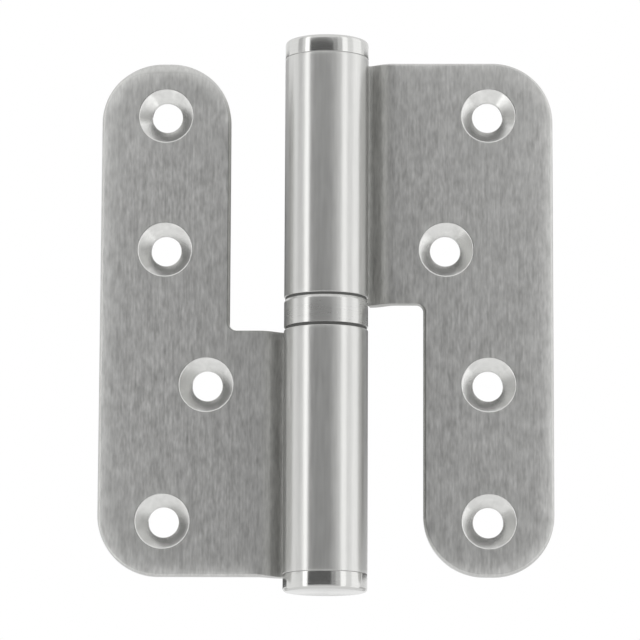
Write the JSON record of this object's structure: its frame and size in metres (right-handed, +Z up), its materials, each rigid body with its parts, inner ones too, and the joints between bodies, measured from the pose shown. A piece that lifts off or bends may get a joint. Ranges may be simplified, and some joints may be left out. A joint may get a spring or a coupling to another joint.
{
  "type": "lift-off hinge",
  "caption": "Stainless lift-off door hinge with rolled knuckles, fixed pin, bearing ring and countersunk leaves; the upper half swings and lifts off.",
  "frame": {"origin": "on the pin's axis at the middle of the bearing ring, which is the centre of the whole hinge laid flat open", "axes": "+Z up along the pin, the way the upper half lifts off; +X from the lower half's leaf to the upper half's; -Y the way the countersunk faces look"},
  "size_m": [0.096, 0.0176, 0.1174],
  "materials": {
    "brushed_leaf": "satin brushed stainless steel, grain along the pin",
    "polished_turning": "fine turned and polished stainless steel",
    "turned_pin": "ground stainless steel"
  },
  "bodies": {
    "frame_half": {"lower_leaf": "brushed_leaf", "hinge_pin": "turned_pin", "lower_cap": "polished_turning"},
    "loose_ring": {"bearing_ring": "polished_turning"},
    "door_half": {"upper_leaf": "brushed_leaf", "upper_cap": "polished_turning"}
  },
  "joints": [
    {"name": "swing", "type": "hinge", "parent": "frame_half", "child": "loose_ring", "pos_m": [0, 0, 0], "axis": [0, 0, 1], "range_deg": [-180, 140]},
    {"name": "lift_off", "type": "slide", "parent": "loose_ring", "child": "door_half", "axis": [0, 0, 1], "range_m": [0, 0.04]}
  ]
}
